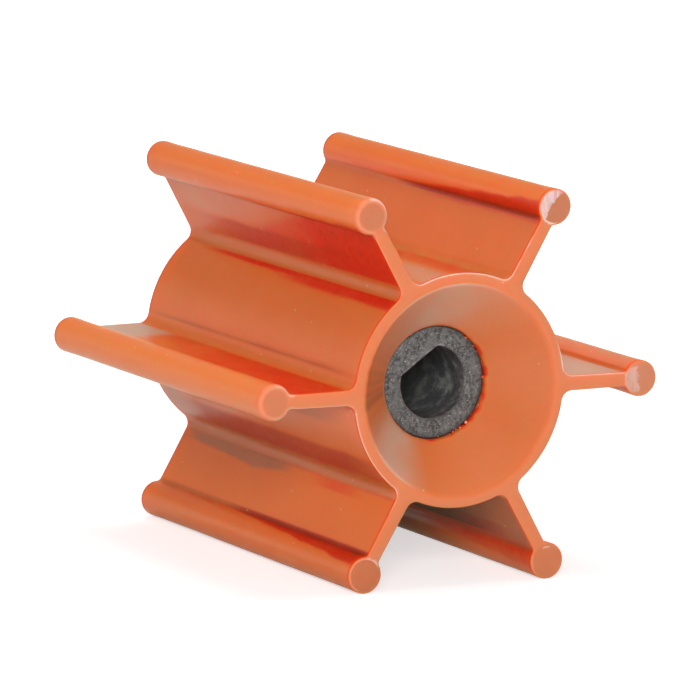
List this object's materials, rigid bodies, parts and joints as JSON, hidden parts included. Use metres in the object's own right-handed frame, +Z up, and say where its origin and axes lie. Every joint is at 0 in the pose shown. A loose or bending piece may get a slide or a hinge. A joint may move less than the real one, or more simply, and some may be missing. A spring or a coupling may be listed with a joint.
{
  "type": "rubber pump impeller",
  "caption": "Flexible rubber pump impeller: round hub with thin radial vanes that end in round beads, dished ends and a recessed insert with a D-shaped bore.",
  "frame": {"origin": "on the shaft axis at mid length", "axes": "+Y along the shaft axis from the front end to the rear end; +Z up, with the part lying on the beads of its two lower vanes"},
  "size_m": [0.0488, 0.05, 0.0428],
  "materials": {
    "rubber": "smooth moulded orange rubber, satin",
    "insert": "dull granular dark grey"
  },
  "bodies": {
    "root": {"impeller_body": "rubber", "drive_insert": "insert"}
  },
  "joints": []
}
